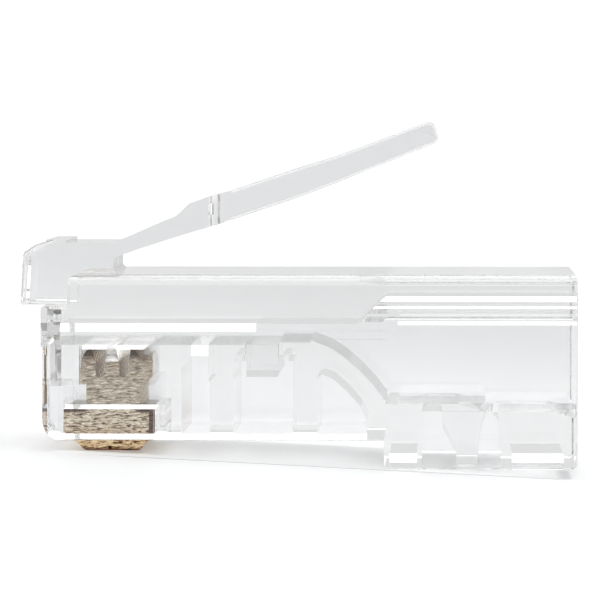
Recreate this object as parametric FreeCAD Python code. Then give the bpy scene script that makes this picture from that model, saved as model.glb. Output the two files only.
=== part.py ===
import FreeCAD, Part
import math
import os

# RJ45 (8P8C) modular plug for round cable, before termination: one clear
# polycarbonate moulding, and eight blade contacts standing in their raised,
# uncrimped position. Millimetres, +Z up, latch on top. X runs from the mating
# nose (-X) to the cable entry (+X), Y is the width.
#
# Inside this file X is measured from the front of the nose and Z from a datum
# z_heel above the lowest plane. The finished solids are shifted at the end so
# that the origin is under the middle of the bounding box, on that lowest plane.

V = FreeCAD.Vector

# ---- driving dimensions -------------------------------------------------
width = 11.68            # overall width of the body
length = 21.46           # nose front to rear face
z_top = 7.62             # top plane
z_heel = -0.13           # underside of the rear block, 7.75 below the top plane
nose_height = 6.60       # body height in front of the rear block
x_step = 13.74           # front face of the rear block
root_width = 6.02        # latch root and hinge strip
lever_width = 3.25       # finger lever
pitch = 1.02             # contact pitch
n_contacts = 8
blade_t = 0.35           # contact thickness
slot_w = 0.41            # upper contact slot
slot_w_low = 0.80        # contact slot below the lead-in chamfer
x_shift = -10.222        # nose front to the row origin, mid-length of the bounding box

r_under, r_under_rear = 0.06, 0.09    # long lower edges: nose, rear block
lead_in = 0.18           # 45 degree lead-in along the windows and contact bay
bar_gap = 0.14           # the bars between the windows stand back from the underside
z_nose = z_top - nose_height          # 1.02, underside of the nose
half = width / 2
nose_bevel_x, nose_bevel_y = 0.30, 0.52   # bevel on the front corners, in plan
lip = 0.07               # upper front lip stands this far proud
x_notch, z_notch = 1.10, 6.35         # set-back of the top beside the latch root

# conductor bay: one low room, parted by ribs on its floor and its ceiling
bay_half = 4.03
bay_z0, bay_z1 = 4.78, 5.64
bay_chamfer = 0.32                    # 45 degree upper corners
rib_w, rib_h = 0.10, 0.10
bore_x0, bore_x1 = 0.73, 8.60
groove_x1 = 10.8
cav_half = 4.12          # half width of the conductor room
crest_z = 5.03
room_top = 5.64

# jacket room
jack_half = 4.15
jack_top, jack_floor, jack_floor_rear = 6.72, 2.42, 2.11
x_jack = 13.80

# contact, in its raised position
foot_z = 0.48
foot_x0, foot_x1 = 0.85, 4.46
shoulder_z = 2.20
ledge_z = 3.16           # slot ledge: shoulders stop here, 0.96 mm of travel
ledge_rear = 3.46
neck_x0, neck_x1 = 1.77, 3.93
barb_z = 3.20
up_x0, up_x1 = 1.53, 4.42
pocket_w = 0.72          # slot above the ledge, closing again under the channel

# living hinge of the latch
hinge_x, hinge_z, hinge_r = 2.77, 8.525, 0.305
seat_gap = 0.02

# conductor clamp and jacket clamp
cc_x0, cc_x1, cc_z0, cc_z1 = 8.21, 9.49, 3.50, 4.79
cc_half = 4.04
tear = 0.035             # width of the torn or scored seam round a clamp
jc_hinge_x, jc_hinge_z, jc_r = 15.46, 2.275, 0.14
jc_half = 3.68
jc_x1 = 17.82


# ---- helpers -------------------------------------------------------------
def box(x0, x1, y0, y1, z0, z1):
    return Part.makeBox(x1 - x0, y1 - y0, z1 - z0, V(x0, y0, z0))


def face_xz(points, y):
    """A closed XZ outline at Y = y. A point may carry a corner radius: (x, z, r)."""
    n = len(points)
    edges = []
    ends = []
    for i in range(n):
        p = points[i]
        r = p[2] if len(p) > 2 else 0.0
        b = V(p[0], y, p[1])
        a = V(points[i - 1][0], y, points[i - 1][1])
        c = V(points[(i + 1) % n][0], y, points[(i + 1) % n][1])
        if r <= 0:
            ends.append((b, None, b))
            continue
        u = (a - b).normalize()
        w = (c - b).normalize()
        ang = u.getAngle(w)
        t = r / math.tan(ang / 2)
        s, e = b + u * t, b + w * t
        m = (u + w).normalize()
        centre = b + m * (r / math.sin(ang / 2))
        ends.append((s, centre - m * r, e))
    for i in range(n):
        s, m, e = ends[i]
        if m is not None:
            edges.append(Part.Arc(s, m, e).toShape())
        nxt = ends[(i + 1) % n][0]
        if (nxt - e).Length > 1e-6:
            edges.append(Part.LineSegment(e, nxt).toShape())
    return Part.Face(Part.Wire(edges))


def prism(points, y0, y1):
    return face_xz(points, y0).extrude(V(0, y1 - y0, 0))


def prism_z(points, z0, z1):
    """A closed XY outline raised from z0 to z1."""
    pts = [V(x, y, z0) for x, y in points]
    return Part.Face(Part.makePolygon(pts + [pts[0]])).extrude(V(0, 0, z1 - z0))


def room_yz(x0, x1, hw, z0, z1, r_bot, r_top):
    """A tunnel along X with rounded lower and upper corners."""
    pts = [(-hw, z0, r_bot), (hw, z0, r_bot), (hw, z1, r_top), (-hw, z1, r_top)]
    f = face_xz(pts, 0.0)                      # drawn in XZ, then turned to YZ
    f.rotate(V(0, 0, 0), V(0, 0, 1), 90)
    f.translate(V(x0, 0, 0))
    return f.extrude(V(x1 - x0, 0, 0))


def fuse(shapes):
    out = shapes[0].multiFuse(shapes[1:]) if len(shapes) > 1 else shapes[0]
    return out.removeSplitter()


def fillet(shape, wanted, r):
    """Round the edges for which wanted(edge) holds, all at once or one by one."""
    edges = [e for e in shape.Edges if wanted(e)]
    if not edges:
        print("no edges for fillet", r)
        return shape
    try:
        out = shape.makeFillet(r, edges)
        if out.isValid() and out.Volume > 0:
            return out
    except Exception as err:
        print("fillet failed", r, len(edges), err)
    return shape


def mid(e):
    b = e.BoundBox
    return V((b.XMin + b.XMax) / 2, (b.YMin + b.YMax) / 2, (b.ZMin + b.ZMax) / 2)


def along(e, axis):
    b = e.BoundBox
    sizes = {"x": b.XLength, "y": b.YLength, "z": b.ZLength}
    return all(v < 1e-6 for k, v in sizes.items() if k != axis) and sizes[axis] > 0.05


def near(a, b, tol=0.01):
    return abs(a - b) < tol


# ---- outer body ----------------------------------------------------------
# Each block is the common part of a side profile, an end profile and a plan,
# so every long edge carries its own moulded radius.
def plan_prism(x0, x1, hw, r0, r1):
    f = face_xz([(x0, -hw, r0), (x1, -hw, r1), (x1, hw, r1), (x0, hw, r0)], 0.0)
    f.rotate(V(0, 0, 0), V(1, 0, 0), 90)       # XZ outline laid into XY
    f.translate(V(0, 0, -2))
    return f.extrude(V(0, 0, 14))


nose_profile = [
    (lip, z_nose, 0.80),
    (lip, 4.66),
    (0.0, 4.76),
    (0.0, z_notch, 0.12),
    (x_notch, z_notch, 0.08),
    (x_notch, z_top, 0.36),
    (x_step + 1.0, z_top),
    (x_step + 1.0, z_nose),
]
nose = prism(nose_profile, -half - 1, half + 1)
nose = nose.common(room_yz(-1.0, x_step + 1.0, half, z_nose, z_top, r_under, 0.42))
# the front corners are bevelled steeply, to lead the plug into its jack
nose = nose.common(prism_z([(0.0, nose_bevel_y - half), (nose_bevel_x, -half), (x_step + 2.0, -half), (x_step + 2.0, half),
                            (nose_bevel_x, half), (0.0, half - nose_bevel_y)], -2.0, 12.0))
rear_profile = [
    (x_step, z_heel, 0.06),
    (length, z_heel, 0.20),
    (length, z_top, 0.12),
    (x_step, z_top),
]
rear = prism(rear_profile, -half - 1, half + 1)
rear = rear.common(room_yz(x_step, length, half, z_heel, z_top, r_under_rear, 0.42))
rear = rear.common(plan_prism(x_step - 1.0, length, half, 0.0, 0.10))
body = fuse([nose, rear])
# the two ledges beside the latch root get a small radius of their own
ledge_trim = []
for s in (-1, 1):
    tri = Part.Face(Part.makePolygon([
        V(-1, s * half, z_notch + 0.01), V(-1, s * (half - 0.10), z_notch + 0.01),
        V(-1, s * half, z_notch - 0.09), V(-1, s * half, z_notch + 0.01)]))
    ledge_trim.append(tri.extrude(V(1 + x_notch - 0.02, 0, 0)))
body = body.cut(fuse(ledge_trim))

# latch root block, fused over the notch and the top
root_outline = [
    (-1.02, 6.33, 0.10),
    (-0.90, 8.42, 0.25),
    (-0.38, 8.76, 0.60),
    (0.05, 8.90),
    (0.05, 8.95),
    (0.87, 8.95),
    (0.87, 8.83),
    (hinge_x, 8.83),
    (hinge_x, z_top - 0.6),
    (x_notch + 0.4, z_top - 0.6),
    (x_notch + 0.4, 6.33 - 0.0),
]
root = prism(root_outline, -root_width / 2, root_width / 2)
root = fillet(
    root,
    lambda e: near(abs(mid(e).y), root_width / 2) and mid(e).x < -0.2 and e.BoundBox.ZLength > 0.1,
    0.15,
)
root = root.cut(
    Part.makeCylinder(hinge_r + seat_gap, 20, V(hinge_x, -10, hinge_z), V(0, 1, 0))
)
# small gusset at the foot of the root, on the top plane
gusset = prism(
    [(hinge_x - 0.05, z_top - 0.05), (hinge_x + 0.18, z_top - 0.05), (hinge_x - 0.05, z_top + 0.28)],
    -root_width / 2, root_width / 2,
)
body = fuse([body, root, gusset])

# ---- rooms cut out of the moulding ---------------------------------------
cuts = []
ys = [(i - (n_contacts - 1) / 2) * pitch for i in range(n_contacts)]

# conductor bay, blind at the nose
bay_pts = [(-bay_half, bay_z0), (bay_half, bay_z0), (bay_half, bay_z1 - bay_chamfer),
           (bay_half - bay_chamfer, bay_z1), (bay_chamfer - bay_half, bay_z1), (-bay_half, bay_z1 - bay_chamfer)]
w = [V(bore_x0, u, z) for u, z in bay_pts]
bay = Part.Face(Part.makePolygon(w + [w[0]])).extrude(V(bore_x1 - bore_x0, 0, 0))
for i in range(1, n_contacts):
    y = (i - n_contacts / 2) * pitch
    bay = bay.cut(box(bore_x0 - 0.1, bore_x1 + 0.1, y - rib_w / 2, y + rib_w / 2, bay_z0 - 0.1, bay_z0 + rib_h))
    bay = bay.cut(box(bore_x0 - 0.1, bore_x1 + 0.1, y - rib_w / 2, y + rib_w / 2, bay_z1 - 0.06, bay_z1 + 0.1))
cuts.append(bay)
for y in ys:
    cuts.append(box(bore_x1 - 0.1, groove_x1, y - 0.44, y + 0.44, bay_z0 + 0.10, crest_z + 0.05))
# common room behind the channels
cuts.append(box(bore_x1, 12.75, -cav_half, cav_half, crest_z, room_top))
# room that lets the conductor clamp rise
cuts.append(box(cc_x0 - tear, cc_x1 + tear, -cc_half - tear, cc_half + tear, cc_z1 - 0.05, 5.32))

# side of the jacket room's vault, from the wall up: (step inwards, step up)
vault_steps = [(0.12, 0.12), (0.02, 0.08), (0.03, 0.04), (0.02, 0.08), (0.0, 0.12), (0.05, 0.20), (0.08, 0.08),
               (0.02, 0.08), (0.0, 0.08), (0.01, 0.04), (0.24, 0.20)]


def vaulted(x0, x1, z0, c):
    """A room along X with small lower chamfers and a fluted vault."""
    h, t = jack_half, jack_top
    u, z = h, t - sum(dz for du, dz in vault_steps)
    side = [(h - c, z0), (h, z0 + c), (h, z)]
    for du, dz in vault_steps:
        u, z = u - du, z + dz
        side.append((u, z))
    if c <= 0:
        side = side[1:]
    pts = side + [(-y, z) for y, z in reversed(side)]
    w = [V(x0, y, z) for y, z in pts]
    return Part.Face(Part.makePolygon(w + [w[0]])).extrude(V(x1 - x0, 0, 0))


# funnel from the jacket room up to the channels
funnel = [
    (10.75, 5.03),
    (10.85, 4.94),
    (11.60, 4.66),
    (12.15, 4.28),
    (12.80, 3.70),
    (13.35, 3.12),
    (13.72, 2.62),
    (13.95, jack_floor, 0.0),
    (14.30, jack_floor),
    (14.30, jack_top),
    (13.78, jack_top, 0.5),
    (13.25, 6.20),
    (12.70, room_top, 0.3),
    (10.75, room_top),
]
funnel_solid = prism(funnel, -jack_half, jack_half)
vault = vaulted(9.0, 15.0, 0.0, 0.0).fuse(box(9.0, 15.0, -jack_half, jack_half, 0.0, room_top + 0.08))
funnel_solid = funnel_solid.common(vault)
# guide walls left standing low in the funnel
for s in (-1, 1):
    lo_y, hi_y = sorted((s * 3.76, s * 4.5))
    funnel_solid = funnel_solid.cut(box(10.0, 13.80, lo_y, hi_y, 1.5, 5.00))
cuts.append(funnel_solid)

# jacket room, open at the rear
cuts.append(vaulted(x_jack, 17.90, jack_floor, 0.35))
cuts.append(vaulted(17.80, length + 1, jack_floor_rear, 0.35))
cuts.append(prism([(16.60, jack_floor + 0.01), (17.30, 2.25), (17.90, jack_floor_rear), (17.90, 2.7), (16.60, 2.7)], -3.85, 3.85))
flare = [
    (20.45, jack_floor_rear),
    (length + 0.2, 1.76),
    (length + 0.2, 3.2),
    (20.45, 3.2),
]
cuts.append(prism(flare, -jack_half + 0.25, jack_half - 0.25))

# contact slots
for y in ys:
    w0, w1, wp = slot_w / 2, slot_w_low / 2, pocket_w / 2
    # guiding slot, from the open front up to the ledge
    cuts.append(box(-0.5, 4.70, y - w0, y + w0, -0.5, ledge_z))
    # wide lead-in below it, pointed at the rear; the two outermost slots have a 45 degree roof on their outer side
    rise_a = 0.175 if y == ys[0] else 0.0
    rise_b = 0.175 if y == ys[-1] else 0.0
    sec = [(-w1, -0.5), (w1, -0.5), (w1, 2.375 - rise_b), (w1 - 0.175, 2.375), (0.175 - w1, 2.375), (-w1, 2.375 - rise_a)]
    w = [V(0.86, y + u, z) for u, z in sec]
    low = Part.Face(Part.makePolygon(w + [w[0]])).extrude(V(4.3, 0, 0))
    point = prism_z([(0.80, y - w1), (4.54, y - w1), (4.94, y - 0.02), (4.94, y + 0.02), (4.54, y + w1), (0.80, y + w1)],
                    -0.5, 3.0)
    cuts.append(low.common(point))
    # front end of the lead-in, narrowing towards the nose
    cuts.append(prism_z([(0.28, y - w0), (0.87, y - w1), (0.87, y + w1), (0.28, y + w0)], -0.5, 3.12))
    # pocket above the ledge, closing again under the conductor bay
    sec = [(-wp, ledge_z), (wp, ledge_z), (wp, 4.59), (w0, 4.745), (w0, bay_z0 + 0.05), (-w0, bay_z0 + 0.05),
           (-w0, 4.745), (-wp, 4.59)]
    w = [V(1.60, y + u, z) for u, z in sec]
    cuts.append(Part.Face(Part.makePolygon(w + [w[0]])).extrude(V(2.52, 0, 0)))
    cuts.append(box(2.60, 3.00, y - wp, y + wp, ledge_z, bay_z0 + 0.05))
    cuts.append(box(up_x0 - 0.04, 1.61, y - wp, y + wp, ledge_z, 4.32))
    cuts.append(box(4.11, up_x1 + 0.04, y - wp, y + wp, ledge_z, 4.38))
    cuts.append(box(up_x0 - 0.04, up_x1 + 0.04, y - w0, y + w0, ledge_z, bay_z0 + 0.05))
    cuts.append(box(4.0, 4.70, y - w0, y + w0, ledge_z - 0.01, ledge_rear))

# transverse windows in the underside
win = 4.13
cuts.append(
    prism(
        [(5.61, 0.0), (6.75, 0.0), (6.75, 3.30), (6.68, 3.40), (6.68, 4.36), (6.06, 4.36), (5.80, 4.02), (5.61, 3.86)],
        -win, win,
    )
)
# its top narrows at 45 degrees into the conductor bay
sec = [(-win, 4.35), (win, 4.35), (win - 0.60, 4.95), (0.60 - win, 4.95)]
w = [V(6.00, u, z) for u, z in sec]
cuts.append(Part.Face(Part.makePolygon(w + [w[0]])).extrude(V(0.68, 0, 0)))
cuts.append(box(7.69, 10.09, -win, win, 0.0, 4.14))
cuts.append(
    prism(
        [(11.06, 0.0), (13.00, 0.0), (13.05, 1.75), (12.80, 2.32), (12.20, 2.98), (11.70, 3.42, 0.15),
         (11.28, 3.60, 0.12), (11.06, 3.50)],
        -win, win,
    )
)
# seam of the conductor clamp, scored through the web above the window
cuts.append(
    box(cc_x0 - tear, cc_x1 + tear, -cc_half - tear, cc_half + tear, 4.0, cc_z1 + 0.1)
)
# score grooves beside the clamp
for x0, x1 in ((7.80, 8.05), (9.68, 9.93)):
    cuts.append(prism([(x0, 4.10), (x1, 4.10), (x1, 4.42), (x0, 4.42)], -win, win))
# window of the jacket clamp
w4 = prism([(15.26, -0.5), (18.42, -0.5), (18.42, 1.2), (18.36, 1.75), (18.02, 2.13, 0.3), (15.26, 2.13)], -win, win)
cuts.append(w4)
cuts.append(box(jc_hinge_x, 18.30, -jc_half - 0.03, jc_half + 0.03, 2.0, jack_floor + 0.02))
cuts.append(
    Part.makeCylinder(jc_r + seat_gap, 2 * jc_half + 0.06, V(jc_hinge_x, -jc_half - 0.03, jc_hinge_z), V(0, 1, 0))
)
# the bars between the windows stand slightly back from the underside
cuts.append(box(4.98, 13.05, -win, win, 0.0, z_nose + bar_gap))
# lead-ins along the lower inside edges of the side walls
slot_out = (n_contacts - 1) / 2 * pitch + slot_w_low / 2
for x0, x1, y, leg in ((0.30, 4.98, slot_out, lead_in), (4.98, 13.05, win, bar_gap), (5.61, 6.75, win, lead_in),
                       (7.69, 10.09, win, lead_in), (11.06, 13.00, win, lead_in)):
    for s in (-1, 1):
        tri = [V(x0, s * (y - 0.1), z_nose - 0.1), V(x0, s * (y + leg + 0.1), z_nose - 0.1),
               V(x0, s * (y - 0.1), z_nose + leg + 0.1)]
        cuts.append(Part.Face(Part.makePolygon(tri + [tri[0]])).extrude(V(x1 - x0, 0, 0)))
# shallow hollows under the rear block, with 45 degree sides
for x0, x1 in ((13.98, 15.06), (18.86, 20.90)):
    sec = [(-5.30, z_heel - 0.02), (5.30, z_heel - 0.02), (5.30, 0.13), (4.96, 0.47), (-4.96, 0.47), (-5.30, 0.13)]
    w = [V(x0, u, z) for u, z in sec]
    cuts.append(Part.Face(Part.makePolygon(w + [w[0]])).extrude(V(x1 - x0, 0, 0)))

housing = body.cut(fuse(cuts[:1] + cuts[1:]))
housing = housing.removeSplitter()
solids = sorted(housing.Solids, key=lambda s: -s.Volume)
print("housing solids", [round(s.Volume, 4) for s in solids])
housing = solids[0]

# ---- latch: hinge strip, locking shoulders and finger lever ---------------
strip_pts = [
    (hinge_x, hinge_z + hinge_r),
    (4.86, 9.74, 0.8),
    (5.28, 9.90, 0.3),
    (5.84, 10.42, 0.35),
    (6.62, 10.70),
    (7.50, 10.92),
    (7.50, 9.74),
    (6.76, 9.50),
    (5.87, 9.24, 1.5),
    (4.86, 8.93, 2.0),
    (3.85, 8.60, 1.0),
    (hinge_x, hinge_z - hinge_r),
]
strip = prism(strip_pts, -root_width / 2, root_width / 2)
plan = prism_z(
    [
        (hinge_x - 0.01, -root_width / 2),
        (6.62, -root_width / 2),
        (6.67, -root_width / 2 + 0.05),
        (6.67, -lever_width / 2 - 0.28),
        (6.70, -lever_width / 2 - 0.16),
        (6.77, -lever_width / 2 - 0.07),
        (6.93, -lever_width / 2),
        (7.50, -lever_width / 2),
        (7.50, lever_width / 2),
        (6.93, lever_width / 2),
        (6.77, lever_width / 2 + 0.07),
        (6.70, lever_width / 2 + 0.16),
        (6.67, lever_width / 2 + 0.28),
        (6.67, root_width / 2 - 0.05),
        (6.62, root_width / 2),
        (hinge_x - 0.01, root_width / 2),
    ],
    7.0,
    12.0,
)
strip = strip.common(plan)
lever_pts = [
    (6.80, 10.69),
    (10.28, 11.87, 6.0),
    (11.70, 12.30, 6.0),
    (15.70, 13.80, 0.30),
    (15.94, 12.92, 0.28),
    (13.53, 11.95, 8.0),
    (11.91, 11.30, 8.0),
    (10.28, 10.67, 8.0),
    (6.80, 9.50),
]
lever = prism(lever_pts, -lever_width / 2, lever_width / 2)
lever = fillet(
    lever,
    lambda e: near(abs(mid(e).y), lever_width / 2) and e.BoundBox.XMin > 6.95 or
    (near(abs(mid(e).y), lever_width / 2) and e.BoundBox.XLength > 2.0),
    0.12,
)
barrel = Part.makeCylinder(hinge_r, root_width, V(hinge_x, -root_width / 2, hinge_z), V(0, 1, 0))
latch = fuse([strip, lever, barrel])
print("latch solids", len(latch.Solids), latch.isValid())
latch = latch.Solids[0]

# ---- contacts --------------------------------------------------------------
blade_pts = [
    (foot_x0, 1.27, 0.25),
    (1.64, foot_z + 0.01, 0.30),
    (3.88, foot_z, 0.20),
    (foot_x1, 1.18, 0.20),
    (foot_x1, shoulder_z, 0.05),
    (neck_x1, shoulder_z),
    (neck_x1, 3.26),
    (4.20, 3.30, 0.10),
    (up_x1, 3.46, 0.14),
    (up_x1, 4.06, 0.20),
    (4.16, 4.34, 0.10),
    (4.00, 4.10, 0.03),
    (3.97, 4.26, 0.08),
    (3.76, 4.58, 0.12),
    (3.55, 4.58, 0.04),
    (3.49, 4.10),
    (3.49, 3.70),
    (3.30, 3.44, 0.10),
    (3.10, 3.44, 0.10),
    (3.09, 4.05),
    (2.92, 4.66, 0.02),
    (2.68, 4.66, 0.02),
    (2.50, 4.05),
    (2.50, 3.70),
    (2.36, 3.44, 0.10),
    (2.16, 3.44, 0.10),
    (2.14, 4.10),
    (2.04, 4.58, 0.08),
    (1.80, 4.58, 0.12),
    (1.60, 4.28, 0.30),
    (up_x0, 3.80, 0.30),
    (up_x0, barb_z, 0.03),
    (neck_x0, barb_z),
    (neck_x0, shoulder_z),
    (foot_x0, shoulder_z, 0.05),
]


def make_blade(y):
    t = blade_t / 2
    b = prism(blade_pts, -t, t)
    # the middle tine is ground away on the -Y side, the outer two on the +Y side
    def wedge(x0, x1, z0, z1, side):
        keep = 0.04
        pts = [V(x0, side * t, z0), V(x0, -side * (t - keep), z1), V(x0, side * (t + 0.2), z1 + 0.02),
               V(x0, side * (t + 0.2), z0), V(x0, side * t, z0)]
        return Part.Face(Part.makePolygon(pts)).extrude(V(x1 - x0, 0, 0))
    b = b.cut(wedge(2.45, 3.12, 4.09, 4.66, -1))
    b = b.cut(wedge(1.50, 2.28, 4.20, 4.74, 1))
    b = b.cut(wedge(3.44, 3.98, 4.20, 4.74, 1))
    b.translate(V(0, y, 0))
    b = b.removeSplitter()
    return b.Solids[0]


# ---- conductor clamp: cross bar that the crimp die drives up ----------------
clamp = prism(
    [
        (cc_x0, cc_z0, 0.06),
        (cc_x1, cc_z0, 0.06),
        (cc_x1, cc_z1),
        (cc_x0, cc_z1),
    ],
    -cc_half, cc_half,
)

# ---- jacket clamp: hinged flap with its wedge -------------------------------
flap = prism(
    [
        (jc_hinge_x, jc_hinge_z - jc_r),
        (15.95, 2.135),
        (16.06, 2.05),
        (16.08, 1.42),
        (16.46, 0.75),
        (16.62, 0.42),
        (16.66, -0.02, 0.05),
        (17.48, -0.02, 0.05),
        (17.56, 0.90),
        (17.68, 1.60),
        (jc_x1, 1.92, 0.04),
        (jc_x1, 2.10, 0.04),
        (17.30, 2.24, 1.0),
        (16.60, 2.415, 1.0),
        (jc_hinge_x, jc_hinge_z + jc_r),
    ],
    -jc_half, jc_half,
)
flap_barrel = Part.makeCylinder(jc_r, 2 * jc_half, V(jc_hinge_x, -jc_half, jc_hinge_z), V(0, 1, 0))
jclamp = fuse([flap, flap_barrel]).Solids[0]

# ---- write -------------------------------------------------------------------
os.makedirs("parts", exist_ok=True)
nodes = {"housing": housing, "latch": latch, "conductor_clamp": clamp.Solids[0], "jacket_clamp": jclamp}
for i, y in enumerate(ys):
    nodes["contact_%d" % (i + 1)] = make_blade(y)

for name, shape in nodes.items():
    s = shape.copy()
    s.translate(V(x_shift, 0, -z_heel))
    b = s.BoundBox
    print(
        "%-16s valid=%s solids=%d vol=%.4f  x %.3f..%.3f  y %.3f..%.3f  z %.3f..%.3f"
        % (name, s.isValid(), len(s.Solids), s.Volume, b.XMin, b.XMax, b.YMin, b.YMax, b.ZMin, b.ZMax)
    )
    s.exportStep("parts/%s.step" % name)
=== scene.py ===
import math

import bmesh
import bpy
from mathutils import Matrix, Vector
from mathutils import interpolate as interpolation
from mathutils.bvhtree import BVHTree
from mathutils.kdtree import KDTree


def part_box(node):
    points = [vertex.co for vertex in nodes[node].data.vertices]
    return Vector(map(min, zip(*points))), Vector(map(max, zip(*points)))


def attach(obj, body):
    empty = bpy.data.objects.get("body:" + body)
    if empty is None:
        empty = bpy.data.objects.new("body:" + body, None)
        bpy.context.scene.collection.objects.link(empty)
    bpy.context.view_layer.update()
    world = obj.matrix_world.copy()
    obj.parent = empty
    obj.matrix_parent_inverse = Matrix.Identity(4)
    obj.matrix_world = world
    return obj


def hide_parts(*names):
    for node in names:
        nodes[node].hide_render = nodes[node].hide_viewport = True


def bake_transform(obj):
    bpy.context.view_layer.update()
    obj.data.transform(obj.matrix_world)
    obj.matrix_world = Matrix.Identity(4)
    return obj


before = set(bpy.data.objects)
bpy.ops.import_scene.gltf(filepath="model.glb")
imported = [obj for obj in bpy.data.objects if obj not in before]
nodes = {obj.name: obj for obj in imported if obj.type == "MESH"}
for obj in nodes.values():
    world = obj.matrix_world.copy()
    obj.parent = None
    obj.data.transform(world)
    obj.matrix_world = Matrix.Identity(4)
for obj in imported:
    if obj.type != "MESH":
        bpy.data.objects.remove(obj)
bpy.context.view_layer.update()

MM = 0.001
scene = bpy.context.scene

# ---------------------------------------------------------------- set-up
scene.view_settings.view_transform = "Standard"
scene.view_settings.look = "None"
scene.view_settings.exposure = 0.0
scene.view_settings.gamma = 1.0
cy = scene.cycles
cy.max_bounces = 72
cy.transmission_bounces = 72
cy.glossy_bounces = 40
cy.diffuse_bounces = 3
cy.transparent_max_bounces = 16
cy.volume_bounces = 0
cy.caustics_reflective = True
cy.caustics_refractive = True
cy.blur_glossy = 0.0
cy.sample_clamp_indirect = 8.0
cy.sample_clamp_direct = 0.0

# light levels
FRONT, BACK = 0.42, 0.86               # table far in front and far behind
CARD_GLOW = 0.06                       # the card is lit from below as well
OVERHEAD = 1.9

# anchor points come from the frame
h_lo, h_hi = [Vector(v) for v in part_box("housing")]
c_lo, c_hi = [Vector(v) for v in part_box("contact_1")]
l_lo, l_hi = [Vector(v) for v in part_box("latch")]
near_y = h_lo.y                       # the side that faces the camera
nose_x = h_lo.x + 1.016 * MM          # front of the nose, behind the latch root
datum_z = h_lo.z + 0.13 * MM          # height datum, above the lowest plane


# ---------------------------------------------------------------- materials
def new_material(name):
    m = bpy.data.materials.new(name)
    m.use_nodes = True
    nt = m.node_tree
    nt.nodes.clear()
    out = nt.nodes.new("ShaderNodeOutputMaterial")
    return m, nt, out


def node(nt, kind, **values):
    n = nt.nodes.new(kind)
    for k, v in values.items():
        if k in n.inputs:
            n.inputs[k].default_value = v
        else:
            setattr(n, k, v)
    return n


def ramp(nt, source, stops):
    r = nt.nodes.new("ShaderNodeValToRGB")
    while len(r.color_ramp.elements) > len(stops):
        r.color_ramp.elements.remove(r.color_ramp.elements[-1])
    while len(r.color_ramp.elements) < len(stops):
        r.color_ramp.elements.new(0.5)
    for e, (p, c) in zip(r.color_ramp.elements, stops):
        e.position = p
        e.color = (*c, 1.0)
    nt.links.new(source, r.inputs["Fac"])
    return r.outputs["Color"]


def mapped(nt, scale, offset=(0, 0, 0)):
    tc = nt.nodes.new("ShaderNodeTexCoord")
    mp = nt.nodes.new("ShaderNodeMapping")
    mp.inputs["Scale"].default_value = scale
    mp.inputs["Location"].default_value = offset
    nt.links.new(tc.outputs["Object"], mp.inputs["Vector"])
    return mp.outputs["Vector"]


def noise(nt, vector, detail=3.0, rough=0.5, scale=1.0):
    n = nt.nodes.new("ShaderNodeTexNoise")
    n.inputs["Scale"].default_value = scale
    n.inputs["Detail"].default_value = detail
    n.inputs["Roughness"].default_value = rough
    nt.links.new(vector, n.inputs["Vector"])
    return n.outputs["Fac"]


def clear_plastic(name, seed, density, wave):
    """Clear moulded polycarbonate: slight flow waviness, fine handling marks, a faint cloudy tint, and a little
    absorption.
    """
    m, nt, out = new_material(name)
    p = nt.nodes.new("ShaderNodeBsdfPrincipled")
    p.inputs["IOR"].default_value = 1.586
    p.inputs["Transmission Weight"].default_value = 1.0
    p.inputs["Specular IOR Level"].default_value = 0.5

    flow = noise(nt, mapped(nt, (90, 260, 420), (seed, seed * 2, 0)), 2.0, 0.5)
    cloud = noise(nt, mapped(nt, (320, 320, 320), (0, seed, seed)), 4.0, 0.6)
    fine = noise(nt, mapped(nt, (2600, 9000, 9000), (seed, 0, seed)), 3.0, 0.6)

    tint = ramp(nt, cloud, [(0.30, (0.985, 0.987, 0.988)), (0.70, (1.0, 1.0, 1.0))])
    nt.links.new(tint, p.inputs["Base Color"])

    rough = nt.nodes.new("ShaderNodeMapRange")
    rough.inputs["From Min"].default_value = 0.35
    rough.inputs["From Max"].default_value = 0.75
    rough.inputs["To Min"].default_value = 0.0
    rough.inputs["To Max"].default_value = 0.03
    nt.links.new(fine, rough.inputs["Value"])
    nt.links.new(rough.outputs["Result"], p.inputs["Roughness"])

    b1 = nt.nodes.new("ShaderNodeBump")
    b1.inputs["Strength"].default_value = 1.0
    b1.inputs["Distance"].default_value = wave
    nt.links.new(flow, b1.inputs["Height"])
    nt.links.new(b1.outputs["Normal"], p.inputs["Normal"])

    # where one moulding is shown as two meshes, the faces between them let everything through
    seam = nt.nodes.new("ShaderNodeAttribute")
    seam.attribute_type = "GEOMETRY"
    seam.attribute_name = "seam"
    through = nt.nodes.new("ShaderNodeBsdfTransparent")
    join = nt.nodes.new("ShaderNodeMixShader")
    nt.links.new(seam.outputs["Fac"], join.inputs["Fac"])
    nt.links.new(p.outputs["BSDF"], join.inputs[1])
    nt.links.new(through.outputs["BSDF"], join.inputs[2])
    nt.links.new(join.outputs["Shader"], out.inputs["Surface"])
    va = nt.nodes.new("ShaderNodeVolumeAbsorption")
    va.inputs["Color"].default_value = (0.50, 0.495, 0.45, 1.0)
    va.inputs["Density"].default_value = density
    nt.links.new(va.outputs["Volume"], out.inputs["Volume"])
    return m


foot_low = 0.48 * MM


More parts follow.
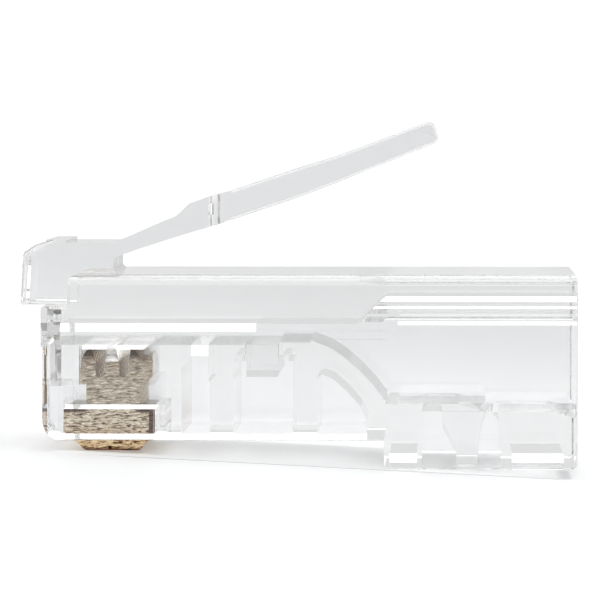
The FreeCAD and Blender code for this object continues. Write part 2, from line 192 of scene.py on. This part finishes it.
def contact_metal(name):
    """Gold over nickel on a sheared bronze strip: wavy drawn lines on the flat faces, darker copper-brown sheared
    edges; painted shade on the broken corners, tine tips, upper blade and foot, and a painted highlight on the middle
    tine's ground bevel.
    """
    m, nt, out = new_material(name)
    L = nt.links.new
    p = nt.nodes.new("ShaderNodeBsdfPrincipled")
    p.inputs["Metallic"].default_value = 1.0
    v = mapped(nt, (2600, 4000, 12000), (0.3, 0, 0))
    lines = nt.nodes.new("ShaderNodeTexNoise")
    lines.inputs["Scale"].default_value = 1.0
    lines.inputs["Detail"].default_value = 3.0
    lines.inputs["Roughness"].default_value = 0.62
    lines.inputs["Distortion"].default_value = 0.55
    L(v, lines.inputs["Vector"])
    fine = noise(nt, mapped(nt, (6000, 9000, 26000), (1.7, 0, 0)), 2.0, 0.5)
    mix = nt.nodes.new("ShaderNodeMath")
    mix.operation = "MULTIPLY_ADD"
    mix.inputs[1].default_value = 0.35
    L(fine, mix.inputs[0])
    part = nt.nodes.new("ShaderNodeMath")
    part.operation = "MULTIPLY"
    part.inputs[1].default_value = 0.65
    L(lines.outputs["Fac"], part.inputs[0])
    L(part.outputs[0], mix.inputs[2])
    calm = ramp(nt, mix.outputs[0], [
        (0.37, (0.150, 0.115, 0.085)),
        (0.45, (0.440, 0.360, 0.275)),
        (0.53, (0.700, 0.600, 0.465)),
        (0.62, (1.000, 0.920, 0.760)),
    ])
    strong = ramp(nt, mix.outputs[0], [
        (0.405, (0.030, 0.016, 0.010)),
        (0.455, (0.400, 0.290, 0.190)),
        (0.50, (0.780, 0.630, 0.450)),
        (0.56, (1.000, 0.930, 0.770)),
    ])
    # near-black painted shade for the broken corners of the blade: dark outlines
    edge = ramp(nt, fine, [
        (0.35, (0.012, 0.005, 0.003)),
        (0.55, (0.060, 0.028, 0.014)),
        (0.70, (0.260, 0.150, 0.075)),
    ])
    # where on the blade: the pressed foot is livelier and warmer, and the tips of the outer tines get painted shade
    at = nt.nodes.new("ShaderNodeTexCoord")
    pos = nt.nodes.new("ShaderNodeSeparateXYZ")
    L(at.outputs["Object"], pos.inputs["Vector"])

    def band(value, lo, hi, a, b):
        n = nt.nodes.new("ShaderNodeMapRange")
        n.interpolation_type = "SMOOTHSTEP"
        n.inputs["From Min"].default_value = lo
        n.inputs["From Max"].default_value = hi
        n.inputs["To Min"].default_value = a
        n.inputs["To Max"].default_value = b
        L(value, n.inputs["Value"])
        return n.outputs["Result"]

    def blend_colour(fac, a, b, mode="MIX"):
        n = nt.nodes.new("ShaderNodeMix")
        n.data_type = "RGBA"
        n.blend_type = mode
        L(fac, n.inputs["Factor"])
        for v, k in ((a, "A"), (b, "B")):
            if isinstance(v, tuple):
                n.inputs[k].default_value = v + (1.0,)
            else:
                L(v, n.inputs[k])
        return n.outputs["Result"]

    def times(a, b):
        n = nt.nodes.new("ShaderNodeMath")
        n.operation = "MULTIPLY"
        L(a, n.inputs[0])
        L(b, n.inputs[1])
        return n.outputs[0]

    px, pz = pos.outputs["X"], pos.outputs["Z"]
    face = blend_colour(band(pz, datum_z + 2.0 * MM, datum_z + 2.5 * MM, 1.0, 0.0), calm, strong)
    face = blend_colour(band(pz, datum_z + 0.8 * MM, datum_z + 1.8 * MM, 0.75, 0.0), face, (1.0, 0.80, 0.56), "MULTIPLY")
    outer = band(px, nose_x + 2.30 * MM, nose_x + 2.42 * MM, 1.0, 0.0)
    outer_b = band(px, nose_x + 3.16 * MM, nose_x + 3.28 * MM, 0.0, 1.0)
    either = nt.nodes.new("ShaderNodeMath")
    either.operation = "MAXIMUM"
    L(outer, either.inputs[0])
    L(outer_b, either.inputs[1])
    # painted shade on the tips of the outer tines
    tip_shade = times(either.outputs[0], band(pz, datum_z + 4.08 * MM, datum_z + 4.40 * MM, 0.0, 1.0))
    face = blend_colour(tip_shade, face, (0.16, 0.11, 0.08), "MULTIPLY")
    # painted shade: along the shoulders of the foot and down its rear end
    on_foot = band(pz, datum_z + 2.26 * MM, datum_z + 2.20 * MM, 0.0, 1.0)
    shoulders = band(pz, datum_z + 2.02 * MM, datum_z + 2.10 * MM, 0.0, 1.0)
    flank = nt.nodes.new("ShaderNodeMath")
    flank.operation = "MAXIMUM"
    L(band(px, nose_x + 1.60 * MM, nose_x + 1.85 * MM, 1.0, 0.0), flank.inputs[0])
    L(band(px, nose_x + 3.70 * MM, nose_x + 3.85 * MM, 0.0, 1.0), flank.inputs[1])
    heel_end = times(band(px, nose_x + 4.26 * MM, nose_x + 4.30 * MM, 0.0, 1.0), band(pz, datum_z + 1.10 * MM, datum_z + 1.25 * MM, 0.0, 1.0))
    foot_shade = nt.nodes.new("ShaderNodeMath")
    foot_shade.operation = "MAXIMUM"
    L(times(shoulders, flank.outputs[0]), foot_shade.inputs[0])
    L(heel_end, foot_shade.inputs[1])
    face = blend_colour(times(on_foot, foot_shade.outputs[0]), face, (0.14, 0.07, 0.05), "MULTIPLY")
    # painted shade along the lower edge of the foot, just above the table
    face = blend_colour(band(pz, datum_z + foot_low + 0.03 * MM, datum_z + foot_low + 0.12 * MM, 1.0, 0.0), face, (0.20, 0.09, 0.04), "MULTIPLY")
    # painted shade: the blade is darker and greyer from 3.5 mm above the datum up
    upper_shade = band(pz, datum_z + 3.5 * MM, datum_z + 4.0 * MM, 0.0, 0.45)
    face = blend_colour(upper_shade, face, (0.62, 0.58, 0.55), "MULTIPLY")
    tc = nt.nodes.new("ShaderNodeTexCoord")
    sep = nt.nodes.new("ShaderNodeSeparateXYZ")
    L(tc.outputs["Normal"], sep.inputs["Vector"])
    ab = nt.nodes.new("ShaderNodeMath")
    ab.operation = "ABSOLUTE"
    L(sep.outputs["Y"], ab.inputs[0])
    flat = nt.nodes.new("ShaderNodeMapRange")
    flat.inputs["From Min"].default_value = 0.86
    flat.inputs["From Max"].default_value = 0.985
    L(ab.outputs[0], flat.inputs["Value"])
    both = nt.nodes.new("ShaderNodeMix")
    both.data_type = "RGBA"
    L(flat.outputs["Result"], both.inputs["Factor"])
    # narrow plated edges are gold; their broken corners get near-black painted shade, drawn as dark outlines
    gold = ramp(nt, fine, [
        (0.35, (0.52, 0.330, 0.130)),
        (0.55, (0.86, 0.610, 0.300)),
        (0.70, (1.00, 0.800, 0.460)),
    ])
    edge = blend_colour(band(ab.outputs[0], 0.12, 0.30, 0.0, 1.0), gold, edge)
    L(edge, both.inputs["A"])
    L(face, both.inputs["B"])
    # painted highlight: the ground bevel of the middle tine is coloured near-white
    up = band(sep.outputs["Z"], 0.30, 0.38, 0.0, 1.0)
    near = band(sep.outputs["Y"], -0.75, -0.70, 1.0, 0.0)
    middle = times(band(px, nose_x + 2.46 * MM, nose_x + 2.52 * MM, 0.0, 1.0), band(px, nose_x + 3.04 * MM, nose_x + 3.10 * MM, 1.0, 0.0))
    bevel_highlight = times(times(times(up, near), middle), band(pz, datum_z + 4.08 * MM, datum_z + 4.11 * MM, 0.0, 1.0))
    base = blend_colour(bevel_highlight, both.outputs["Result"], (0.97, 0.95, 0.92))
    L(base, p.inputs["Base Color"])
    rough = nt.nodes.new("ShaderNodeMapRange")
    rough.inputs["From Min"].default_value = 0.35
    rough.inputs["From Max"].default_value = 0.62
    rough.inputs["To Min"].default_value = 0.42
    rough.inputs["To Max"].default_value = 0.16
    L(mix.outputs[0], rough.inputs["Value"])
    L(rough.outputs["Result"], p.inputs["Roughness"])
    bump = nt.nodes.new("ShaderNodeBump")
    bump.inputs["Strength"].default_value = 1.0
    bump.inputs["Distance"].default_value = 0.000018
    L(mix.outputs[0], bump.inputs["Height"])
    # it is ground slightly hollow, and catches the light from above
    geo = nt.nodes.new("ShaderNodeNewGeometry")
    lift = nt.nodes.new("ShaderNodeVectorMath")
    lift.operation = "ADD"
    L(geo.outputs["Normal"], lift.inputs[0])
    lift.inputs[1].default_value = (0.0, 0.0, 0.22)
    unit = nt.nodes.new("ShaderNodeVectorMath")
    unit.operation = "NORMALIZE"
    L(lift.outputs["Vector"], unit.inputs[0])
    shade_n = nt.nodes.new("ShaderNodeMix")
    shade_n.data_type = "VECTOR"
    L(bevel_highlight, shade_n.inputs["Factor"])
    vec = [i for i in shade_n.inputs if i.type == "VECTOR"]
    slot_a = [i for i in vec if i.name == "A"][0]
    slot_b = [i for i in vec if i.name == "B"][0]
    L(bump.outputs["Normal"], slot_a)
    L(unit.outputs["Vector"], slot_b)
    L([o for o in shade_n.outputs if o.type == "VECTOR"][0], p.inputs["Normal"])
    L(p.outputs["BSDF"], out.inputs["Surface"])
    return m


housing_mat = clear_plastic("pc_housing", 0.0, 12.0, 0.000002)
latch_mat = clear_plastic("pc_latch", 3.1, 12.0, 0.000004)
clamp_mat = clear_plastic("pc_clamps", 5.3, 12.0, 0.000002)
metal = contact_metal("contact_gold")


def dress(obj, mat):
    obj.data.materials.clear()
    obj.data.materials.append(mat)


# The plug is one moulding, so the hinge strip grows out of the root block without a seam:
# the root of the strip is joined to the housing, and the rest of it stays a piece of its own, cut across into thin
# slices.
hinge = Vector((nose_x + 2.77 * MM, 0, datum_z + 8.525 * MM))
x_cut = nose_x + 3.05 * MM


def bare(name, source):
    """A welded copy of a CAD node, without its stored normals."""
    me = bpy.data.meshes.new(name)
    src = source.data
    mw = source.matrix_world
    me.from_pydata([mw @ v.co for v in src.vertices], [], [list(p.vertices) for p in src.polygons])
    bm = bmesh.new()
    bm.from_mesh(me)
    bmesh.ops.remove_doubles(bm, verts=bm.verts, dist=0.0000003)
    bm.to_mesh(me)
    bm.free()
    o = bpy.data.objects.new(name, me)
    scene.collection.objects.link(o)
    return o


def sliced(obj, co, no, keep_outer=None):
    """Cut along a plane; keep_outer True keeps the side the normal points to, None keeps both."""
    bm = bmesh.new()
    bm.from_mesh(obj.data)
    r = bmesh.ops.bisect_plane(bm, geom=bm.verts[:] + bm.edges[:] + bm.faces[:], dist=1e-8, plane_co=co, plane_no=no,
                               clear_inner=keep_outer is True, clear_outer=keep_outer is False)
    if keep_outer is not None:
        rim = [e for e in r["geom_cut"] if isinstance(e, bmesh.types.BMEdge)]
        bmesh.ops.edgeloop_fill(bm, edges=rim)
        bmesh.ops.recalc_face_normals(bm, faces=bm.faces)
    bm.to_mesh(obj.data)
    bm.free()
    return obj


def applied(obj):
    """The object's modifiers, worked into its mesh."""
    bpy.context.view_layer.update()
    ev = obj.evaluated_get(bpy.context.evaluated_depsgraph_get())
    me = bpy.data.meshes.new_from_object(ev, preserve_all_data_layers=True, depsgraph=bpy.context.evaluated_depsgraph_get())
    obj.modifiers.clear()
    old = obj.data
    obj.data = me
    bpy.data.meshes.remove(old)
    return obj


def surface(verts, polys, loop_normals):
    """What is needed to look up a stored normal: patches are connected runs of shared vertices."""
    parent = list(range(len(verts)))

    def find(i):
        while parent[i] != i:
            parent[i] = parent[parent[i]]
            i = parent[i]
        return i

    for p in polys:
        for v in p[1:]:
            parent[find(v)] = find(p[0])
    at = {}
    for p, ns in zip(polys, loop_normals):
        for v, n in zip(p, ns):
            at[v] = n
    tree = KDTree(len(verts))
    for i, v in enumerate(verts):
        tree.insert(v, i)
    tree.balance()
    return {"verts": verts, "polys": polys, "normals": loop_normals, "patch": [find(i) for i in range(len(verts))],
            "at": at, "kd": tree, "bvh": BVHTree.FromPolygons(verts, polys)}


def cad_surface(source):
    me = source.data
    mw = source.matrix_world
    rot = mw.to_3x3()
    cn = me.corner_normals
    return surface([mw @ v.co for v in me.vertices], [list(p.vertices) for p in me.polygons],
                   [[(rot @ cn[i].vector).normalized() for i in p.loop_indices] for p in me.polygons])


def round_surface(obj, axis_point):
    """The fill piece: radial normals on its round wall, flat ones elsewhere."""
    me = obj.data
    normals = []
    for p in me.polygons:
        if abs(p.normal.y) > 0.5 or p.area > 0.05e-6 * 20:
            normals.append([p.normal.copy()] * p.loop_total)
            continue
        c = p.center - axis_point
        radial = Vector((c.x, 0, c.z)).normalized()
        if radial.dot(p.normal) < 0.98:
            normals.append([p.normal.copy()] * p.loop_total)
            continue
        row = []
        for v in p.vertices:
            d = me.vertices[v].co - axis_point
            row.append(Vector((d.x, 0, d.z)).normalized())
        normals.append(row)
    # split by face so that every wall is a patch of its own
    verts, polys = [], []
    for p in me.polygons:
        polys.append(list(range(len(verts), len(verts) + p.loop_total)))
        verts += [me.vertices[v].co.copy() for v in p.vertices]
    return surface(verts, polys, normals)


def renormal(obj, surfaces):
    """Give every corner the stored normal of the surface it came from."""
    me = obj.data
    for p in me.polygons:
        p.use_smooth = True
    out = [None] * len(me.loops)
    for p in me.polygons:
        best = None
        for s in surfaces:
            for co, n, i, d in s["bvh"].find_nearest_range(p.center, 0.004 * MM):
                score = d / MM - 0.5 * max(0.0, n.dot(p.normal))
                if best is None or score < best[0]:
                    best = (score, s, i)
        for li in p.loop_indices:
            co = me.vertices[me.loops[li].vertex_index].co
            if best is None or Vector(best[1]["bvh"].find_nearest(p.center)[1]).length == 0:
                out[li] = p.normal.copy()
                continue
            s, i = best[1], best[2]
            patch = s["patch"][s["polys"][i][0]]
            got = None
            for _, k, d in s["kd"].find_range(co, 0.0006 * MM):
                if s["patch"][k] == patch and k in s["at"]:
                    got = s["at"][k]
                    break
            if got is None:
                ws = interpolation.poly_3d_calc([s["verts"][v] for v in s["polys"][i]], co)
                got = Vector((0, 0, 0))
                for w, n in zip(ws, s["normals"][i]):
                    got += max(0.0, w) * n
                if got.length < 0.2:
                    got = p.normal.copy()
            if got.dot(p.normal) < 0.5:
                got = p.normal.copy()
            out[li] = got.normalized()
    me.normals_split_custom_set(out)


body = bare("housing_body", nodes["housing"])
root = sliced(bare("strip_root", nodes["latch"]), (x_cut, 0, 0), (1, 0, 0), False)
bm = bmesh.new()
width = (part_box("latch")[1][1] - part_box("latch")[0][1]) - 0.004 * MM
bmesh.ops.create_cone(bm, cap_ends=True, segments=96, radius1=0.336 * MM, radius2=0.336 * MM, depth=width)
me = bpy.data.meshes.new("seat_fill")
bm.to_mesh(me)
bm.free()
me.transform(Matrix.Translation(hinge) @ Matrix.Rotation(math.pi / 2, 4, "X"))
fill = bpy.data.objects.new("seat_fill", me)
scene.collection.objects.link(fill)
sliced(fill, (hinge.x + 0.04 * MM, 0, 0), (1, 0, 0), False)
sliced(fill, (0, 0, hinge.z + 0.3045 * MM), (0, 0, 1), False)
sources = [cad_surface(nodes["housing"]), cad_surface(nodes["latch"]), round_surface(fill, hinge)]
for other in (fill, root):
    b = body.modifiers.new("join", "BOOLEAN")
    b.operation = "UNION"
    b.solver = "EXACT"
    b.object = other
    applied(body)
    bpy.data.objects.remove(other)
renormal(body, sources)
dress(body, housing_mat)
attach(body, "housing")
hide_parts("housing")

x_start = x_cut + 0.001 * MM
strip = sliced(bare("latch_strip", nodes["latch"]), (x_start, 0, 0), (1, 0, 0), True)
for i in range(1, 26):
    sliced(strip, (x_cut + i * 0.15 * MM, 0, 0), (1, 0, 0))
renormal(strip, sources[1:2])
for obj, x in ((body, x_cut), (strip, x_start)):
    flags = obj.data.attributes.new("seam", "FLOAT", "FACE")
    for f in obj.data.polygons:
        between = abs(f.normal.x) > 0.99 and abs(f.center.x - x) < 0.0003 * MM and f.center.z > hinge.z - 0.7 * MM
        flags.data[f.index].value = 1.0 if between else 0.0
dress(strip, latch_mat)
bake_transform(strip)
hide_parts("latch")
dress(nodes["conductor_clamp"], clamp_mat)
dress(nodes["jacket_clamp"], clamp_mat)
for i in range(1, 9):
    c = nodes["contact_%d" % i]
    dress(c, metal)
    # sheared edges are slightly broken
    w = c.modifiers.new("weld", "WELD")
    w.merge_threshold = 0.0000005
    b = c.modifiers.new("broken_edges", "BEVEL")
    b.width = 0.000055
    b.segments = 2
    b.limit_method = "ANGLE"
    b.angle_limit = math.radians(40)
    b.harden_normals = True

# ---------------------------------------------------------------- stage
# The plug rests on the front ends of its contact feet and on the front edge of the rear block,
# so the table runs a little nose-up against the plug's own axes.
foot = Vector((c_lo.x + 0.85 * MM, 0, c_lo.z))
heel = Vector((nose_x + 13.80 * MM, 0, h_lo.z))
tilt = math.atan2(foot.z - heel.z, heel.x - foot.x)
bm = bmesh.new()
bmesh.ops.create_grid(bm, x_segments=8, y_segments=8, size=3.0)
me = bpy.data.meshes.new("table")
bm.to_mesh(me)
bm.free()
table = bpy.data.objects.new("table", me)
scene.collection.objects.link(table)
table.matrix_world = Matrix.Translation(heel - Vector((0, 0, 0.01 * MM))) @ Matrix.Rotation(tilt, 4, "Y")


def maprange(nt, value, lo, hi, a, b, smooth=True):
    n = nt.nodes.new("ShaderNodeMapRange")
    if smooth:
        n.interpolation_type = "SMOOTHSTEP"
    n.inputs["From Min"].default_value = lo
    n.inputs["From Max"].default_value = hi
    n.inputs["To Min"].default_value = a
    n.inputs["To Max"].default_value = b
    nt.links.new(value, n.inputs["Value"])
    return n.outputs["Result"]


def math_node(nt, op, a, b=None):
    n = nt.nodes.new("ShaderNodeMath")
    n.operation = op
    for i, v in enumerate((a, b)):
        if v is None:
            continue
        if isinstance(v, (int, float)):
            n.inputs[i].default_value = v
        else:
            nt.links.new(v, n.inputs[i])
    return n.outputs[0]


# white card: full white round the plug, with painted shade greying it far in front and far behind
m, nt, out = new_material("table_white")
p = nt.nodes.new("ShaderNodeBsdfPrincipled")
p.inputs["Roughness"].default_value = 0.5
p.inputs["Specular IOR Level"].default_value = 0.25
tc = nt.nodes.new("ShaderNodeTexCoord")
sep = nt.nodes.new("ShaderNodeSeparateXYZ")
nt.links.new(tc.outputs["Object"], sep.inputs["Vector"])
front = maprange(nt, sep.outputs["Y"], -0.120, -0.050, FRONT, 1.0)
back = maprange(nt, sep.outputs["Y"], 0.030, 0.260, 1.0, BACK)
grain = maprange(nt, noise(nt, mapped(nt, (60, 60, 60)), 2.0), 0.3, 0.7, 0.985, 1.0)
level = math_node(nt, "MULTIPLY", math_node(nt, "MULTIPLY", front, back), grain)
# shade where the plug stands: deepest at the far side, with a thin line along the near edge
tx, ty = sep.outputs["X"], sep.outputs["Y"]
in_x = math_node(nt, "MULTIPLY", maprange(nt, tx, -0.0128, -0.0098, 0.0, 1.0), maprange(nt, tx, 0.0066, 0.0076, 1.0, 0.0))
deep = math_node(nt, "MULTIPLY", maprange(nt, ty, -0.0061, 0.0045, 0.06, 0.26), maprange(nt, ty, -0.00615, -0.00605, 0.0, 1.0))
deep = math_node(nt, "MULTIPLY", deep, maprange(nt, ty, 0.0060, 0.0075, 1.0, 0.0))
deep = math_node(nt, "MULTIPLY", deep, maprange(nt, tx, -0.0045, 0.0030, 1.0, 0.72))
line = math_node(nt, "MULTIPLY", maprange(nt, ty, -0.00650, -0.00615, 0.0, 0.38), maprange(nt, ty, -0.00605, -0.00560, 1.0, 0.0))
shade = math_node(nt, "MULTIPLY", in_x, math_node(nt, "MAXIMUM", deep, line))
end = math_node(nt, "MULTIPLY", maprange(nt, tx, 0.0066, 0.0072, 0.0, 1.0), maprange(nt, tx, 0.0073, 0.0076, 1.0, 0.0))
end = math_node(nt, "MULTIPLY", end, math_node(nt, "MULTIPLY", maprange(nt, ty, -0.0063, -0.0056, 0.0, 0.34), maprange(nt, ty, -0.0020, 0.0010, 1.0, 0.0)))
shade = math_node(nt, "MAXIMUM", shade, end)
level = math_node(nt, "MULTIPLY", level, math_node(nt, "SUBTRACT", 1.0, shade))
col = nt.nodes.new("ShaderNodeVectorMath")
col.operation = "SCALE"
col.inputs[0].default_value = (0.905, 0.908, 0.912)
nt.links.new(level, col.inputs["Scale"])
nt.links.new(col.outputs["Vector"], p.inputs["Base Color"])
lp = nt.nodes.new("ShaderNodeLightPath")
plain_level = math_node(nt, "MULTIPLY", front, back)
lift = math_node(nt, "MULTIPLY", math_node(nt, "SUBTRACT", 1.10, plain_level), math_node(nt, "SUBTRACT", 1.0, shade))
lift = math_node(nt, "MULTIPLY", lp.outputs["Is Camera Ray"], lift)
glow = math_node(nt, "MULTIPLY", level, CARD_GLOW)
nt.links.new(math_node(nt, "ADD", lift, glow), p.inputs["Emission Strength"])
p.inputs["Emission Color"].default_value = (1.0, 1.0, 1.0, 1.0)
nt.links.new(p.outputs["BSDF"], out.inputs["Surface"])
dress(table, m)

# studio: a bright tent, brightest overhead, dimmer low on the camera's side and to the left and right
world = bpy.data.worlds.new("studio")
scene.world = world
world.use_nodes = True
nt = world.node_tree
nt.nodes.clear()
out = nt.nodes.new("ShaderNodeOutputWorld")
bg = nt.nodes.new("ShaderNodeBackground")
tc = nt.nodes.new("ShaderNodeTexCoord")
sep = nt.nodes.new("ShaderNodeSeparateXYZ")
nt.links.new(tc.outputs["Generated"], sep.inputs["Vector"])
X, Y, Z = sep.outputs["X"], sep.outputs["Y"], sep.outputs["Z"]


def curve(nt, value, lo, hi, stops):
    """A level along a value, through a colour ramp: stops are (value, level), levels up to 2.5."""
    f = maprange(nt, value, lo, hi, 0.0, 1.0, smooth=False)
    c = ramp(nt, f, [((v - lo) / (hi - lo), (l / 2.5,) * 3) for v, l in stops])
    return math_node(nt, "MULTIPLY", c, 2.5)


azimuth = math_node(nt, "ARCTAN2", X, Y)          # 0 straight behind the plug, positive to the right
deg = math.pi / 180
around = curve(nt, azimuth, -math.pi, math.pi, [
    (-180 * deg, 0.50), (-120 * deg, 0.50), (-75 * deg, 0.30), (-62 * deg, 0.34), (-48 * deg, 1.0),
    (48 * deg, 1.0), (60 * deg, 0.62), (74 * deg, 1.15), (118 * deg, 1.0), (140 * deg, 0.50), (180 * deg, 0.50),
])
height = curve(nt, Z, 0.0, 1.0, [
    (0.0, 0.80), (0.09, 0.82), (0.22, 0.93), (0.58, 1.0), (0.66, 0.32), (0.79, 0.30), (0.86, OVERHEAD), (1.0, OVERHEAD),
])
top = maprange(nt, Z, 0.76, 0.84, 0.0, 1.0)
ring = math_node(nt, "MULTIPLY", around, height)
level = math_node(nt, "ADD", math_node(nt, "MULTIPLY", ring, math_node(nt, "SUBTRACT", 1.0, top)),
                  math_node(nt, "MULTIPLY", height, top))
col = nt.nodes.new("ShaderNodeVectorMath")
col.operation = "SCALE"
col.inputs[0].default_value = (0.992, 1.0, 1.008)
nt.links.new(level, col.inputs["Scale"])
nt.links.new(col.outputs["Vector"], bg.inputs["Color"])
plain = nt.nodes.new("ShaderNodeBackground")
plain.inputs["Color"].default_value = (1.1, 1.1, 1.1, 1)
lp = nt.nodes.new("ShaderNodeLightPath")
mixb = nt.nodes.new("ShaderNodeMixShader")
nt.links.new(lp.outputs["Is Camera Ray"], mixb.inputs["Fac"])
nt.links.new(bg.outputs["Background"], mixb.inputs[1])
nt.links.new(plain.outputs["Background"], mixb.inputs[2])
nt.links.new(mixb.outputs["Shader"], out.inputs["Surface"])


def area(name, at, target, sx, sy, power, colour=(1, 1, 1)):
    d = bpy.data.lights.new(name, "AREA")
    d.shape = "RECTANGLE"
    d.size, d.size_y = sx, sy
    d.energy = power
    d.color = colour
    o = bpy.data.objects.new(name, d)
    scene.collection.objects.link(o)
    o.location = at
    o.rotation_euler = (Vector(target) - Vector(at)).to_track_quat("-Z", "Y").to_euler()
    return o


mid = (h_lo + h_hi) / 2
area("key_top", (0.02, 0.03, 0.55), mid, 0.30, 0.30, 0.10)

# ---------------------------------------------------------------- camera
PX = 25.1 / MM                         # picture units a metre at the near side
DIST = 0.195
AXIS = 440                             # the eye stands square to this column, and turns left from there
cam_data = bpy.data.cameras.new("camera")
cam = bpy.data.objects.new("camera", cam_data)
scene.collection.objects.link(cam)
eye = Vector((nose_x + (AXIS - 39) / PX, near_y - DIST, datum_z + (466.5 - 116) / PX))
down = math.atan2((300 - 116) / PX, DIST)
left = math.atan2((AXIS - 300) / PX, DIST)
cam.location = eye
cam.rotation_euler = (math.pi / 2 - down, 0, left)
cam_data.sensor_width = 36.0
cam_data.lens = 36.0 * PX * DIST / (math.cos(down) * math.cos(left)) / 600.0
cam_data.clip_start = 0.01
cam_data.clip_end = 20.0
scene.camera = cam
